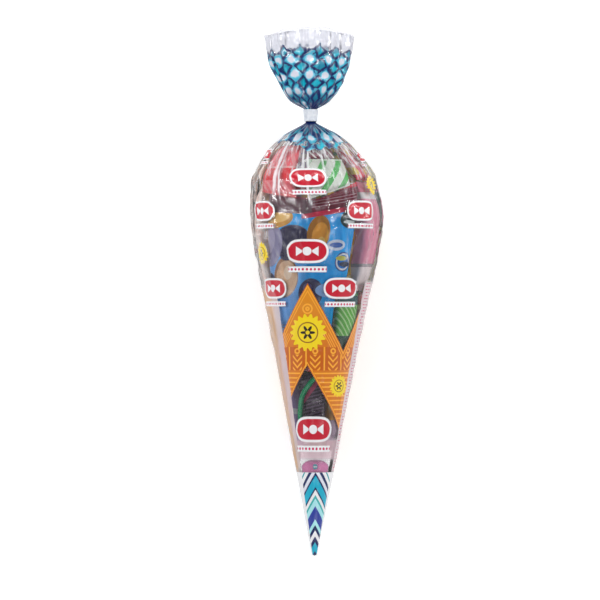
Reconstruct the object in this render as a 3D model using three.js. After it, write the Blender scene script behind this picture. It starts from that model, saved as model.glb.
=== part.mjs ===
// Candy cone: a cone bag of printed clear film, filled with wrapped sweets,
// gathered at the neck under a band of white tape, with the film's open end
// fanned out above it as a ruffle. The filled pack lies on its side, as it rests.
//
// Millimetres, +Z up. The pack lies along Y with its tip at -Y, and its front
// faces up. The origin is on the surface it rests on, under the middle of its box.
import * as THREE from "three";

// Lengths along the pack, from the tip up
const coneLength = 258;
const bellyRise = 37;
const shoulderLength = 79;
const neckLength = 12;
const ruffleLength = 64;

// Half widths of the filled body and the gathered neck
const tipRadius = 2;
const coneEndRadius = 51;
const bellyRadius = 55;
const neckFootRadius = 4.4;
const neckTopRadius = 5.4;

// The film, the tape and the play between the pieces
const filmThickness = 0.4;
const neckBore = 1.2;
const tapeThickness = 0.7;
const clearance = 0.35;

// The ruffle above the neck is a flattened fan
const ruffleHalfWidth = 38;
const ruffleHalfDepth = 17;
const rimDrop = 12;
const ruffleFolds = 9;
const ruffleFoldDepth = 3.2;

// Pleats that run from the neck down over the shoulder
const shoulderPleats = 11;
const shoulderPleatDepth = 1.9;
const neckPleatDepth = 0.55;

// How the soft pack lies: the underside flattens, and the neck sags a little
const restFlat = 3;
const neckHeight = 46;
const tipLean = -2;
const neckLean = -5.2;
const rimLean = -6.4;

// Stations that the lengths give
const bellyAt = coneLength + bellyRise;
const neckAt = bellyAt + shoulderLength;
const ruffleAt = neckAt + neckLength;
const rimAt = ruffleAt + ruffleLength;

const turn = 2 * Math.PI;
const degree = Math.PI / 180;
const mix = (a, b, t) => a + (b - a) * t;
const ease = (t) => {
  const k = Math.min(1, Math.max(0, t));
  return k * k * (3 - 2 * k);
};

// A smooth curve through [station, value] points that never overshoots them.
function curveThrough(points, firstSlope) {
  const slope = points
    .slice(1)
    .map((p, i) => (p[1] - points[i][1]) / (p[0] - points[i][0]));
  const tangent = points.map((p, i) => {
    if (i === 0) return firstSlope ?? slope[0];
    if (i === slope.length) return slope[i - 1];
    const [before, after] = [slope[i - 1], slope[i]];
    return before * after <= 0 ? 0 : (2 * before * after) / (before + after);
  });
  return (station) => {
    let i = slope.length - 1;
    while (i > 0 && station < points[i][0]) i -= 1;
    const span = points[i + 1][0] - points[i][0];
    const t = Math.min(1, Math.max(0, (station - points[i][0]) / span));
    const rest = 1 - t;
    return (
      points[i][1] * (1 + 2 * t) * rest * rest +
      tangent[i] * span * t * rest * rest +
      points[i + 1][1] * t * t * (3 - 2 * t) -
      tangent[i + 1] * span * t * t * rest
    );
  };
}

// Half width of the filled film: a straight cone, then the belly and the shoulder,
// whose points are shares of its own length and of the belly.
const coneSlope = (coneEndRadius - tipRadius) / coneLength;
const bellyCurve = curveThrough(
  [
    [coneLength, coneEndRadius],
    [bellyAt, bellyRadius],
    [bellyAt + 0.36 * shoulderLength, 0.95 * bellyRadius],
    [bellyAt + 0.63 * shoulderLength, 0.745 * bellyRadius],
    [bellyAt + 0.86 * shoulderLength, 0.42 * bellyRadius],
    [neckAt, neckFootRadius],
  ],
  coneSlope,
);
const bodyRadius = (station) =>
  station < coneLength ? tipRadius + coneSlope * station : bellyCurve(station);

// Sideways lean and height of the pack's centre line.
const upperLean = curveThrough([
  [bellyAt, 0],
  [neckAt, neckLean],
  [rimAt, rimLean],
]);
const leanAt = (station) =>
  station < bellyAt ? mix(tipLean, 0, station / bellyAt) : upperLean(station);
function heightAt(station) {
  const resting = (r) => r - (restFlat * r) / bellyRadius;
  if (station <= bellyAt) return resting(bodyRadius(station));
  const lift = ease((station - bellyAt) / shoulderLength);
  return mix(resting(bellyRadius), neckHeight, lift);
}

// A point around the centre line. The angle runs from the top towards +X.
function around(station, angle, alongX, alongZ, y = station) {
  return new THREE.Vector3(
    leanAt(station) + alongX * Math.sin(angle),
    y - rimAt / 2,
    heightAt(station) + alongZ * Math.cos(angle),
  );
}

// Uneven folds: 0 on the crests and -1 in the troughs.
const folds = (angle, count) =>
  (0.7 * Math.cos(count * angle) +
    0.3 * Math.cos((count + 4) * angle + 1.1) -
    1) /
  2;

// How deep the pleats are on the way up to the neck.
function pleatDepth(station) {
  const grown = shoulderPleatDepth * ease((station - bellyAt) / (0.8 * shoulderLength));
  const gathered = ease((station - neckAt) / neckLength + 1);
  return mix(grown, neckPleatDepth, gathered);
}

// Distance from the centre line to the film's outside, which the floor flattens.
function filmRadius(station, angle) {
  const round =
    bodyRadius(station) + pleatDepth(station) * folds(angle, shoulderPleats);
  const down = -Math.cos(angle);
  return down > 0 ? Math.min(round, heightAt(station) / down) : round;
}

// The film's wall in a section across the pack: thicker where the film runs in
// steeply, and a packed bundle of pleats at the neck.
function wallAcross(station) {
  const step = 1;
  const steep = (bodyRadius(station + step) - bodyRadius(station - step)) / (2 * step);
  const wall = filmThickness * Math.hypot(1, steep);
  const bundle = ease((station - neckAt) / neckLength + 1);
  return mix(wall, neckFootRadius - neckPleatDepth - neckBore, bundle);
}

// Distance from the centre line to the room that is left for the sweets.
function roomRadius(station, angle) {
  const round = bodyRadius(station) - pleatDepth(station);
  const down = -Math.cos(angle);
  const open = down > 0 ? Math.min(round, heightAt(station) / down) : round;
  return open - wallAcross(station) - clearance;
}

// A closed mesh from rings of points. Each ring has the same number of points,
// and an end is closed by a pole or joined back to the first ring.
function closedRings(rings, startPole, endPole) {
  const count = rings[0].length;
  const points = rings.flat();
  const faces = [];
  for (let r = 0; r + 1 < rings.length; r += 1) {
    for (let i = 0; i < count; i += 1) {
      const next = (i + 1) % count;
      const [a, b] = [r * count + i, r * count + next];
      faces.push(a, b + count, a + count, a, b, b + count);
    }
  }
  for (const [pole, ring, out] of [
    [startPole, 0, false],
    [endPole, rings.length - 1, true],
  ]) {
    const apex = points.push(pole) - 1;
    for (let i = 0; i < count; i += 1) {
      const [a, b] = [ring * count + i, ring * count + ((i + 1) % count)];
      faces.push(...(out ? [a, b, apex] : [b, a, apex]));
    }
  }
  const geometry = new THREE.BufferGeometry();
  const flat = points.flatMap((p) => [p.x, p.y, p.z]);
  geometry.setAttribute("position", new THREE.Float32BufferAttribute(flat, 3));
  geometry.setIndex(faces);
  return geometry;
}

const pack = new THREE.Group();
function add(name, geometry, color, roughness = 0.35, more = {}) {
  const material = new THREE.MeshStandardMaterial({ color, roughness, ...more });
  const mesh = new THREE.Mesh(geometry, material);
  mesh.name = name;
  pack.add(mesh);
  return mesh;
}

// The film bag: one sheet, closed at the tip and open at the ruffle's rim
const filmSides = 64;
const filmAngles = Array.from({ length: filmSides }, (_, i) => (i * turn) / filmSides);
const coneRings = [0.012, 0.35, 0.7, 1].map((k) => k * coneLength);
const bellyRings = [0.35, 0.7, 1].map((k) => coneLength + k * bellyRise);
const shoulderRings = [0.18, 0.34, 0.47, 0.58, 0.68, 0.77, 0.84, 0.9, 0.95, 1].map(
  (k) => bellyAt + k * shoulderLength,
);
const neckRings = [0.5].map((k) => neckAt + k * neckLength);
const ruffleRings = [0, 0.04, 0.1, 0.19, 0.31, 0.46, 0.63, 0.81, 1];

const ruffleWidthAt = curveThrough([
  [0, neckTopRadius],
  [0.1, 0.45 * ruffleHalfWidth],
  [0.37, 0.74 * ruffleHalfWidth],
  [0.65, 0.95 * ruffleHalfWidth],
  [0.85, ruffleHalfWidth],
  [1, 0.985 * ruffleHalfWidth],
]);
const ruffleDepthAt = curveThrough([
  [0, neckTopRadius],
  [0.12, 0.55 * ruffleHalfDepth],
  [0.5, 0.85 * ruffleHalfDepth],
  [1, ruffleHalfDepth],
]);

// A ring of the film's body, outside or inside.
const bodyRing = (station, inside) =>
  filmAngles.map((angle) => {
    const outer = filmRadius(station, angle);
    const bundle = ease((station - neckAt) / neckLength + 1);
    const wall = outer - wallAcross(station);
    const r = inside ? mix(wall, neckBore, bundle) : outer;
    return around(station, angle, r, r);
  });

// A ring of the ruffle at a share of its height. The cut edge is straight, so it
// rises in an arc where the fan is spread.
function ruffleRing(share, inside) {
  const spread = ease(share / 0.3);
  const bundle = 1 - ease(share / 0.12);
  return filmAngles.map((angle) => {
    const fold = mix(neckPleatDepth, ruffleFoldDepth, spread) * folds(angle, ruffleFolds);
    const edge = rimDrop * share * Math.sin(angle) ** 2;
    const y = ruffleAt + share * ruffleLength - edge;
    const wall = inside ? filmThickness * 1.3 : 0;
    const packed = (r) => (inside ? mix(r, neckBore, bundle) : r);
    return around(
      ruffleAt + share * ruffleLength,
      angle,
      packed(ruffleWidthAt(share) + fold - wall),
      packed(ruffleDepthAt(share) + fold - wall),
      y,
    );
  });
}

const bodyStations = [...coneRings, ...bellyRings, ...shoulderRings, ...neckRings];
const outside = [
  ...bodyStations.map((s) => bodyRing(s, false)),
  ...ruffleRings.map((k) => ruffleRing(k, false)),
];
const inside = [
  ...bodyStations.map((s) => bodyRing(s, true)),
  ...ruffleRings.map((k) => ruffleRing(k, true)),
];
const tipOutside = around(0, 0, 0, 0);
const tipInside = around(0.7 * coneRings[0], 0, 0, 0);
add(
  "film_bag",
  closedRings([...outside, ...inside.reverse()], tipOutside, tipInside),
  0xeef4f8,
  0.12,
  { transparent: true, opacity: 0.35 },
);

// The neck tape: two turns of white tape in a sleeve that widens upwards
const tapeInner = (station) =>
  mix(neckFootRadius, neckTopRadius, (station - neckAt) / neckLength) + clearance;
const tapeFrom = neckAt + 1.2;
const tapeTo = ruffleAt - 0.6;
const tapeProfile = [
  [tapeInner(tapeFrom), tapeFrom],
  [tapeInner(tapeFrom) + tapeThickness, tapeFrom],
  [tapeInner(tapeTo) + tapeThickness, tapeTo],
  [tapeInner(tapeTo), tapeTo],
  [tapeInner(tapeFrom), tapeFrom],
].map(([r, station]) => new THREE.Vector2(r, station - rimAt / 2));
const tape = add("neck_tape", new THREE.LatheGeometry(tapeProfile, 32), 0xf2f2f5, 0.5);
tape.position.set(leanAt((tapeFrom + tapeTo) / 2), 0, neckHeight);

// Pillow packets lie against the film. Each is set by its place along the pack,
// its angle and width at its lower and upper end, how deep it lies and its bulk.
const sealThickness = 0.8;
const packetColumns = 8;
const packetRows = 6;
function packet({ from, to, angle, width, depth = 0, bulk }) {
  const grid = (isInner) =>
    Array.from({ length: packetRows + 1 }, (_, j) => {
      const v = Math.sin((j / packetRows - 0.5) * Math.PI);
      const t = (v + 1) / 2;
      const station = mix(from, to, t);
      const middle = mix(angle[0], angle[1], t) * degree;
      const half = mix(width[0], width[1], t) / 2;
      return Array.from({ length: packetColumns + 1 }, (_, i) => {
        const u = Math.sin((i / packetColumns - 0.5) * Math.PI);
        const full = Math.sqrt((1 - u ** 4) * (1 - v ** 4));
        const spread = half / (bodyRadius(station) - depth);
        const a = middle + u * spread;
        const sunk = depth + 0.3 * bulk * (1 - full);
        const thick = sealThickness + (bulk - sealThickness) * full;
        const r = roomRadius(station, a) - sunk - (isInner ? thick : 0);
        return around(station, a, r, r);
      });
    });
  const [outer, inner] = [grid(false), grid(true)];
  const points = [...outer.flat(), ...inner.flat()];
  const columns = packetColumns + 1;
  const layer = columns * (packetRows + 1);
  const faces = [];
  const quad = (a, b, c, d) => faces.push(a, b, c, a, c, d);
  for (let j = 0; j < packetRows; j += 1) {
    for (let i = 0; i < packetColumns; i += 1) {
      const a = j * columns + i;
      quad(a, a + 1, a + columns + 1, a + columns);
      quad(layer + a, layer + a + columns, layer + a + columns + 1, layer + a + 1);
    }
    const [left, right] = [j * columns, j * columns + packetColumns];
    quad(left, left + columns, layer + left + columns, layer + left);
    quad(right, layer + right, layer + right + columns, right + columns);
  }
  for (let i = 0; i < packetColumns; i += 1) {
    const top = packetRows * columns + i;
    quad(i, layer + i, layer + i + 1, i + 1);
    quad(top, top + 1, layer + top + 1, layer + top);
  }
  const geometry = new THREE.BufferGeometry();
  const flat = points.flatMap((p) => [p.x, p.y, p.z]);
  geometry.setAttribute("position", new THREE.Float32BufferAttribute(flat, 3));
  geometry.setIndex(faces);
  return geometry;
}

// A sweet in a twisted wrapper: a round body between two gathered fans.
function bonbon(radius, bodyLength, twist) {
  const half = bodyLength / 2;
  const side = (way) => [
    [0.62 * radius, way * (half + twist)],
    [0.3 * radius, way * (half + 0.25 * twist)],
    [0.55 * radius, way * 0.97 * half],
    [0.86 * radius, way * 0.8 * half],
    [0.98 * radius, way * 0.45 * half],
  ];
  const upper = side(1).reverse();
  const profile = [[0, -half - twist], ...side(-1), [radius, 0], ...upper, [0, half + twist]];
  return new THREE.LatheGeometry(profile.map(([x, y]) => new THREE.Vector2(x, y)), 14);
}

// Puts a piece at a station, some way out from the centre line at an angle, and
// turns its own +Y the way that the wall runs there.
function place(mesh, station, angle = 0, out = 0) {
  const share = out / bodyRadius(station);
  const at = (s) => around(s, angle * degree, share * bodyRadius(s), share * bodyRadius(s));
  const along = at(station + 1).sub(at(station - 1)).normalize();
  mesh.position.copy(at(station));
  mesh.quaternion.setFromUnitVectors(new THREE.Vector3(0, 1, 0), along);
}

// Layers of sweets, stacked from the tip up
const layerGap = 0.6;
const gumFrom = 70;
const gumTo = 85;
const windowFrom = 104;
const windowTo = 160;
const chewFrom = 92;
const middleTo = 194;
const jellyFrom = 176;
const jellyTo = 229;
const bellyTo = bellyAt + 28;
const shoulderTo = neckAt - 20;
const chewBulk = 16;
const bellyBulk = 20;
const shoulderBulk = 14;

// The tip: a gum ball wedged in the cone, and a block of pink gum on it
const ballRadius = 11.3;
const ballAt = 57;
const ball = add("gum_ball", new THREE.SphereGeometry(ballRadius, 18, 12), 0x5aa9e0, 0.3);
place(ball, ballAt);
add(
  "pink_gum",
  packet({ from: gumFrom, to: gumTo, angle: [0, 0], width: [24, 28], bulk: 14 }),
  0xf07fb8,
);

// The window: a sour candy tube lies over a packet of liquorice
const tubeRadius = 2.3;
const tubeRoute = [
  [windowTo - 2.5, 1],
  [windowTo - 10, -13],
  [windowTo - 20, -28],
  [windowTo - 34, -36],
  [windowFrom + 4, -38],
].map(([station, angle]) => {
  const out = roomRadius(station, angle * degree) - tubeRadius - clearance;
  return around(station, angle * degree, out, out);
});
const tubeSection = new THREE.Shape().absarc(0, 0, tubeRadius, 0, turn);
add(
  "green_candy_tube",
  new THREE.ExtrudeGeometry(tubeSection, {
    curveSegments: 5,
    steps: 14,
    extrudePath: new THREE.CatmullRomCurve3(tubeRoute),
  }),
  0x12a66a,
  0.3,
);
add(
  "liquorice_packet",
  packet({
    from: windowFrom,
    to: windowTo,
    angle: [-8, -8],
    width: [24, 30],
    depth: 2 * tubeRadius + clearance + layerGap,
    bulk: 9,
  }),
  0x4a3f4c,
);

// The middle: chews round a lollipop, and a twisted bonbon in front
add(
  "orange_chew_packet",
  packet({ from: chewFrom + 4, to: jellyFrom - 2, angle: [70, 70], width: [22, 40], bulk: chewBulk }),
  0xef8a2e,
);
add(
  "lime_chew_packet",
  packet({ from: chewFrom, to: middleTo - 1, angle: [165, 165], width: [26, 56], bulk: chewBulk }),
  0x9ccb3b,
);
add(
  "violet_chew_packet",
  packet({ from: chewFrom, to: middleTo - 1, angle: [-86, -86], width: [24, 48], bulk: chewBulk }),
  0x8a5bb5,
);
const bonbonRadius = 8;
const bonbonAt = (windowTo + middleTo) / 2;
const bonbonAngle = -10;
const bonbonOut = roomRadius(bonbonAt, bonbonAngle * degree) - bonbonRadius - layerGap;
place(add("red_bonbon", bonbon(bonbonRadius, 18, 6), 0xd8263a), bonbonAt, bonbonAngle, bonbonOut);

// The lollipop: a sugar ball with the stick let into it
const lollipopAt = bonbonAt;
const lollipopRadius = bonbonOut - bonbonRadius - layerGap;
const stickRadius = 2.1;
const stickEnd = chewFrom + 6;
const socketDepth = 0.6 * lollipopRadius;
const socketRadius = stickRadius + clearance;
const mouth = Math.sqrt(lollipopRadius ** 2 - socketRadius ** 2);
const mouthAngle = Math.asin(socketRadius / lollipopRadius);
const headArc = Array.from({ length: 12 }, (_, i) => {
  const a = mix(mouthAngle, Math.PI, i / 11);
  return [lollipopRadius * Math.sin(a), -lollipopRadius * Math.cos(a)];
});
headArc[11][0] = 0;
const socketTop = socketDepth - mouth;
const headProfile = [[0, socketTop], [socketRadius, socketTop], ...headArc];
const head = add(
  "lollipop_head",
  new THREE.LatheGeometry(headProfile.map(([x, y]) => new THREE.Vector2(x, y)), 20),
  0xe23b4e,
);
place(head, lollipopAt);
const stickTop = socketTop - clearance;
const stickLength = lollipopAt + stickTop - stickEnd;
const stickShape = new THREE.CylinderGeometry(stickRadius, stickRadius, stickLength, 12);
stickShape.translate(0, stickTop - stickLength / 2, 0);
place(add("lollipop_stick", stickShape, 0xf6f4ee), lollipopAt);

// Beside the front packet: jelly and cola sweets
add(
  "green_jelly_packet",
  packet({ from: jellyFrom, to: jellyTo, angle: [45, 46], width: [22, 28], bulk: bellyBulk - 4 }),
  0x5fae55,
);
add(
  "cola_packet",
  packet({ from: jellyFrom, to: jellyTo, angle: [94, 94], width: [30, 40], bulk: bellyBulk - 4 }),
  0x7a3b2a,
);

// The belly: a snack packet in front, more round the sides, a large one in the core
const bellyFrom = middleTo + layerGap;
add(
  "blue_snack_packet",
  packet({ from: bellyFrom, to: bellyTo, angle: [-27, -8], width: [68, 92], bulk: bellyBulk }),
  0x1e96e6,
);
add(
  "pink_wafer_packet",
  packet({ from: jellyTo + 1, to: bellyTo, angle: [84, 82], width: [44, 56], bulk: bellyBulk }),
  0xe88aa0,
);
add(
  "yellow_corn_packet",
  packet({ from: bellyFrom, to: bellyTo, angle: [167, 165], width: [54, 82], bulk: bellyBulk }),
  0xf4c430,
);
add(
  "apricot_packet",
  packet({ from: bellyFrom, to: bellyTo, angle: [-109, -106], width: [36, 60], bulk: bellyBulk }),
  0xf2a65a,
);
const puffsFrom = 206;
const puffsTo = bellyTo + 14;
const puffsRings = Array.from({ length: 9 }, (_, j) => {
  const v = Math.sin(((j + 1) / 10 - 0.5) * Math.PI);
  const station = mix(puffsFrom, puffsTo, (v + 1) / 2);
  return Array.from({ length: 18 }, (_, i) => {
    const angle = (i * turn) / 18;
    const out = roomRadius(station, angle) - bellyBulk - 3 * layerGap;
    const r = out * Math.sqrt(1 - v ** 4);
    return around(station, angle, r, r);
  });
});
add(
  "puffs_packet",
  closedRings(puffsRings, around(puffsFrom, 0, 0, 0), around(puffsTo, 0, 0, 0)),
  0xd9c7a0,
);

// The shoulder: smaller packets under the gathered film
const shoulderFrom = bellyTo + layerGap;
const mintTo = shoulderFrom + 18;
const shoulderPackets = [
  ["red_chew_packet", -44, shoulderTo, [46, 34], 0xe4414f],
  ["green_mint_packet", 16, mintTo, [42, 38], 0xbfe3c4],
  ["cherry_packet", 70, shoulderTo, [36, 28], 0xc9202f],
  ["lemon_packet", 123, shoulderTo, [42, 30], 0xf2dd4a],
  ["berry_packet", 180, shoulderTo, [42, 30], 0x6d4aa8],
  ["peach_packet", -112, shoulderTo, [50, 36], 0xf5b58a],
];
for (const [name, middle, to, width, color] of shoulderPackets) {
  const angle = [middle, middle];
  add(name, packet({ from: shoulderFrom, to, angle, width, bulk: shoulderBulk }), color);
}
add(
  "striped_toffee",
  packet({ from: mintTo + layerGap, to: neckAt - 10, angle: [12, 12], width: [26, 14], bulk: 9 }),
  0x6b1f2a,
);

export default pack;
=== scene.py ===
import math
import random

import bpy
import numpy as np
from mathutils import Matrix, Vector, noise


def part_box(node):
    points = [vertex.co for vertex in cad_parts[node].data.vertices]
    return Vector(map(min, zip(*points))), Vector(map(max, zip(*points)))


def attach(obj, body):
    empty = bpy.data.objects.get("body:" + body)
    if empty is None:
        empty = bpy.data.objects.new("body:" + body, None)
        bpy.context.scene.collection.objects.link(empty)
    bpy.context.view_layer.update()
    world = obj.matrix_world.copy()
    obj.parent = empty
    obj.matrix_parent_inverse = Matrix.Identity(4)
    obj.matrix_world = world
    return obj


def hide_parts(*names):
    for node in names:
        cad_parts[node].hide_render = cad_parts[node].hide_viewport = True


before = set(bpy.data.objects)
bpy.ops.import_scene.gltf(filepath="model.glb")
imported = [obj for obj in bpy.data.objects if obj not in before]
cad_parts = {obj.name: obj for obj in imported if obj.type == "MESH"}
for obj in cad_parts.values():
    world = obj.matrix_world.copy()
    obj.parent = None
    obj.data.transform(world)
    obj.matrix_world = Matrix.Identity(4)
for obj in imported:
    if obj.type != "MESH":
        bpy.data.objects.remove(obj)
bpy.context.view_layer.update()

# The camera: a long lens straight above the pack, which lies as the photograph shows it
# standing, with its tip at the foot of the picture. The sizes are in metres.
view_width = 0.5128
view_height = 3.0
view_middle = (-0.0145, -0.0026)
pack_middle = 0.05
sensor = 36.0

camera = bpy.data.objects.new("camera", bpy.data.cameras.new("camera"))
camera.data.sensor_width = sensor
camera.data.lens = sensor * (view_height - pack_middle) / view_width
camera.location = (*view_middle, view_height)
bpy.context.scene.collection.objects.link(camera)
bpy.context.scene.camera = camera
bpy.context.scene.view_settings.view_transform = "Standard"

# The studio: a plain pale table under narrow lamps at the sides, which draw bright streaks on the
# film's folds, over white streaks that are painted into the film's colour. The air is white to the
# eye, and soft light elsewhere.
table_half = 3000.0
table_level = -0.4
table_colour = (0.9, 0.9, 0.9, 1.0)
table_glow = 0.38
bright = (1.0, 1.0, 1.0, 1.0)
lamps = {
    "left_strip": ((-1.3, 0.4, 1.15), (0.09, 1.8), 15.5),
    "right_strip": ((1.3, 0.2, 1.05), (0.07, 1.8), 12.0),
    "far_strip": ((0.1, 1.5, 1.1), (1.6, 0.16), 9.5),
    "near_box": ((0.2, -1.6, 1.1), (1.2, 0.5), 4.6),
}
air_light = 0.3
horizon_light = 0.7
horizon_from, horizon_to = 0.35, 0.8


def add_node(tree, kind, inputs=None, **settings):
    """A node whose inputs are given as numbers, colours, sockets or fields."""
    made = tree.nodes.new(kind)
    for name, value in settings.items():
        setattr(made, name, value)
    for place, value in (inputs or {}).items():
        source = getattr(value, "socket", value)
        if isinstance(source, bpy.types.NodeSocket):
            tree.links.new(source, made.inputs[place])
        else:
            made.inputs[place].default_value = source
    return made


def finish(name, surface):
    """A new material, with the surface that a function draws in its node tree."""
    made = bpy.data.materials.new(name)
    made.use_nodes = True
    made.node_tree.nodes.clear()
    shader = surface(made.node_tree)
    add_node(made.node_tree, "ShaderNodeOutputMaterial", {"Surface": shader.outputs[0]})
    return made


def seen_by_eye(tree):
    """1 for the camera and for what a mirror or a pane shows, and 0 for other light."""
    path = add_node(tree, "ShaderNodeLightPath").outputs
    seen = path["Is Camera Ray"]
    for ray in ("Is Glossy Ray", "Is Transmission Ray"):
        both = add_node(tree, "ShaderNodeMath", {0: seen, 1: path[ray]}, operation="MAXIMUM")
        seen = both.outputs[0]
    return seen


def table_surface(tree):
    matt = add_node(tree, "ShaderNodeBsdfDiffuse", {"Color": table_colour})
    eye = seen_by_eye(tree)
    lift = add_node(tree, "ShaderNodeMath", {0: eye, 1: table_glow}, operation="MULTIPLY")
    glow = add_node(tree, "ShaderNodeEmission", {"Color": bright, "Strength": lift.outputs[0]})
    return add_node(tree, "ShaderNodeAddShader", {0: matt.outputs[0], 1: glow.outputs[0]})


def mesh_piece(name, points, faces):
    """A smooth piece from points in millimetres."""
    mesh = bpy.data.meshes.new(name)
    mesh.from_pydata([tuple(0.001 * c for c in p) for p in points], [], faces)
    mesh.validate()
    mesh.shade_smooth()
    piece = bpy.data.objects.new(name, mesh)
    bpy.context.scene.collection.objects.link(piece)
    return piece


table_corners = [(-1, -1), (1, -1), (1, 1), (-1, 1)]
table = mesh_piece(
    "table", [(table_half * x, table_half * y, table_level) for x, y in table_corners], [(0, 1, 2, 3)]
)
table.data.materials.append(finish("table_finish", table_surface))

for name, (place, size, power) in lamps.items():
    light = bpy.data.lights.new(name, "AREA")
    light.shape = "RECTANGLE"
    light.size, light.size_y = size
    light.energy = power
    lamp = bpy.data.objects.new(name, light)
    lamp.location = place
    aim = Vector((0.0, 0.0, pack_middle)) - Vector(place)
    lamp.rotation_euler = aim.to_track_quat("-Z", "Y").to_euler()
    bpy.context.scene.collection.objects.link(lamp)

world = bpy.data.worlds.new("studio")
bpy.context.scene.world = world
world.use_nodes = True
sky = world.node_tree
direction = add_node(sky, "ShaderNodeTexCoord").outputs["Generated"]
up = add_node(sky, "ShaderNodeSeparateXYZ", {0: direction}).outputs["Z"]
wall = add_node(
    sky,
    "ShaderNodeMapRange",
    {
        "Value": up,
        "From Min": horizon_from,
        "From Max": horizon_to,
        "To Min": horizon_light,
        "To Max": 0.0,
    },
    interpolation_type="SMOOTHSTEP",
)
strength = add_node(
    sky,
    "ShaderNodeMath",
    {0: seen_by_eye(sky), 1: wall.outputs[0], 2: air_light},
    operation="MULTIPLY_ADD",
)
air = sky.nodes["Background"]
air.inputs["Color"].default_value = bright
sky.links.new(strength.outputs[0], air.inputs["Strength"])

# The film bag: cast polypropylene film, printed on its outside and sealed down the back.
# Sharp pleats run from the neck down the shoulder, the sweets push it out in places, and
# above the tape it opens into a fluted fan with a cut edge. The sizes are in millimetres.
cone_length = 258.0
belly_at = 295.0
neck_at = 374.0
ruffle_at = 386.0
rim_at = 450.0
tip_radius = 2.0
cone_end_radius = 51.0
belly_radius = 55.0
neck_foot_radius = 4.4
neck_top_radius = 5.4
neck_pleat_depth = 0.55
shoulder_pleat_depth = 1.9
rest_flat = 3.0
neck_height = 46.0
tip_lean, neck_lean, rim_lean = -2.0, -5.2, -6.4
film_wall = 0.4
clearance = 0.35
film_sides = 240
film_gauge = 0.15
ruffle_length = 69.0
rim_drop = 6.5
pleat_count = 30
flute_count = 17
flute_depth = 4.2
bundle_folds = 26
bulge_height = 1.2
crinkle_height = 1.5
fine_crinkle_height = 0.5
crest_height = 1.1
film_seed = 7
shoulder_length = neck_at - belly_at
neck_length = ruffle_at - neck_at
cone_slope = (cone_end_radius - tip_radius) / cone_length


def ease(t):
    k = np.clip(t, 0.0, 1.0)
    return k * k * (3 - 2 * k)


def mix(a, b, t):
    return a + (b - a) * t


def curve_through(points, first_slope=None):
    """A smooth curve through (station, value) points that never overshoots them."""
    x, y = np.array(points, float).T
    slope = np.diff(y) / np.diff(x)
    before, after = slope[:-1], slope[1:]
    product = before * after
    total = np.where(product > 0, before + after, 1.0)
    inner = np.where(product > 0, 2 * product / total, 0.0)
    first = slope[0] if first_slope is None else first_slope
    tangent = np.concatenate([[first], inner, [slope[-1]]])

    def at(station):
        s = np.clip(station, x[0], x[-1])
        i = np.clip(np.searchsorted(x, s, side="right") - 1, 0, len(x) - 2)
        span = x[i + 1] - x[i]
        t = (s - x[i]) / span
        rest = 1 - t
        low = y[i] * (1 + 2 * t) * rest**2 + tangent[i] * span * t * rest**2
        high = y[i + 1] * t**2 * (3 - 2 * t) - tangent[i + 1] * span * t**2 * rest
        return low + high

    return at


belly_curve = curve_through(
    [
        (cone_length, cone_end_radius),
        (belly_at, belly_radius),
        (belly_at + 0.36 * shoulder_length, 0.95 * belly_radius),
        (belly_at + 0.63 * shoulder_length, 0.745 * belly_radius),
        (belly_at + 0.86 * shoulder_length, 0.42 * belly_radius),
        (neck_at, neck_foot_radius),
    ],
    cone_slope,
)
upper_lean = curve_through([(belly_at, 0), (neck_at, neck_lean), (rim_at, rim_lean)])


def body_radius(station):
    return np.where(station < cone_length, tip_radius + cone_slope * station, belly_curve(station))


def lean_at(station):
    return np.where(station < belly_at, mix(tip_lean, 0, station / belly_at), upper_lean(station))


def height_at(station):
    resting = 1 - rest_flat / belly_radius
    lift = ease((station - belly_at) / shoulder_length)
    upper = mix(resting * belly_radius, neck_height, lift)
    return np.where(station <= belly_at, resting * body_radius(station), upper)


def pleat_depth(station):
    grown = shoulder_pleat_depth * ease((station - belly_at) / (0.8 * shoulder_length))
    return mix(grown, neck_pleat_depth, ease((station - neck_at) / neck_length + 1))


def room_radius(station, angle):
    """Distance from the centre line to the room for the sweets."""
    down = -np.cos(angle)
    floor = height_at(station) / np.maximum(down, 1e-3)
    steep = 0.5 * (body_radius(station + 1) - body_radius(station - 1))
    wall = film_wall * np.hypot(1, steep)
    level = body_radius(station) - pleat_depth(station)
    return np.where(down > 0, np.minimum(level, floor), level) - wall - clearance


def around(station, angle, along_x, along_z, y=None):
    """Points round the centre line, in millimetres. A station is the distance from the tip."""
    s = np.asarray(station, float)
    x = lean_at(s) + along_x * np.sin(angle)
    z = height_at(s) + along_z * np.cos(angle)
    return np.stack(np.broadcast_arrays(x, (s if y is None else y) - rim_at / 2, z), -1)


ruffle_width_at = curve_through(
    [(0, neck_top_radius), (0.1, 16.6), (0.37, 27.4), (0.6, 33.4), (0.82, 36.4), (1, 37.8)]
)
ruffle_depth_at = curve_through([(0, neck_top_radius), (0.12, 9.35), (0.5, 14.45), (1, 17.0)])


def full_turn(columns):
    """Angles round a ring, from the printed front towards +X."""
    return np.arange(columns) * 2 * math.pi / columns


def half_turned(angle):
    """An angle brought to between minus half a turn and half a turn."""
    return (angle + math.pi) % (2 * math.pi) - math.pi


def creases(count, draw, narrow, wide):
    """Uneven creases round the bag, as (angle, half width, strength, reach) each."""
    step = 2 * math.pi / count
    return [
        (
            (i + draw.uniform(-0.35, 0.35)) * step,
            draw.uniform(narrow, wide) * step,
            draw.uniform(0.45, 1.0),
            draw.uniform(0.3, 1.0),
        )
        for i in range(count)
    ]


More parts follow.
